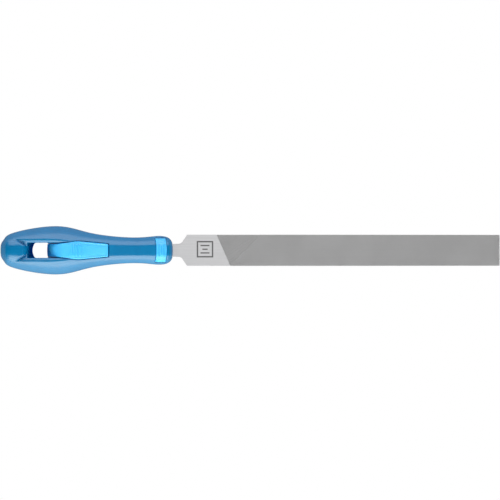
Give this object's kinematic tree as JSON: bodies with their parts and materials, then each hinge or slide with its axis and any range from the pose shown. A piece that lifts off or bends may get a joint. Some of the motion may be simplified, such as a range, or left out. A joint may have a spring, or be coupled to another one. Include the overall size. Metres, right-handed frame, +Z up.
{
  "type": "flat file",
  "caption": "Flat hand file for metalwork with a double-cut steel blade and a soft-grip handle that has a hanging window.",
  "frame": {"origin": "centre of the bounding box, at the level of the handle's underside", "axes": "+X along the file from the butt of the handle to the tip of the blade, +Z up, at right angles to the blade's faces"},
  "size_m": [0.3244, 0.0314, 0.0286],
  "materials": {
    "file_steel": "satin, cut teeth",
    "core_plastic": "gloss light blue",
    "grip_rubber": "soft-touch dark blue, fine texture"
  },
  "bodies": {
    "blade": {"file_blade": "file_steel"},
    "handle": {"handle_core": "core_plastic", "grip_cover": "grip_rubber"}
  },
  "joints": [
    {"name": "handle_draw", "type": "slide", "parent": "blade", "child": "handle", "axis": [-1, 0, 0], "range_m": [0, 0.06]}
  ]
}
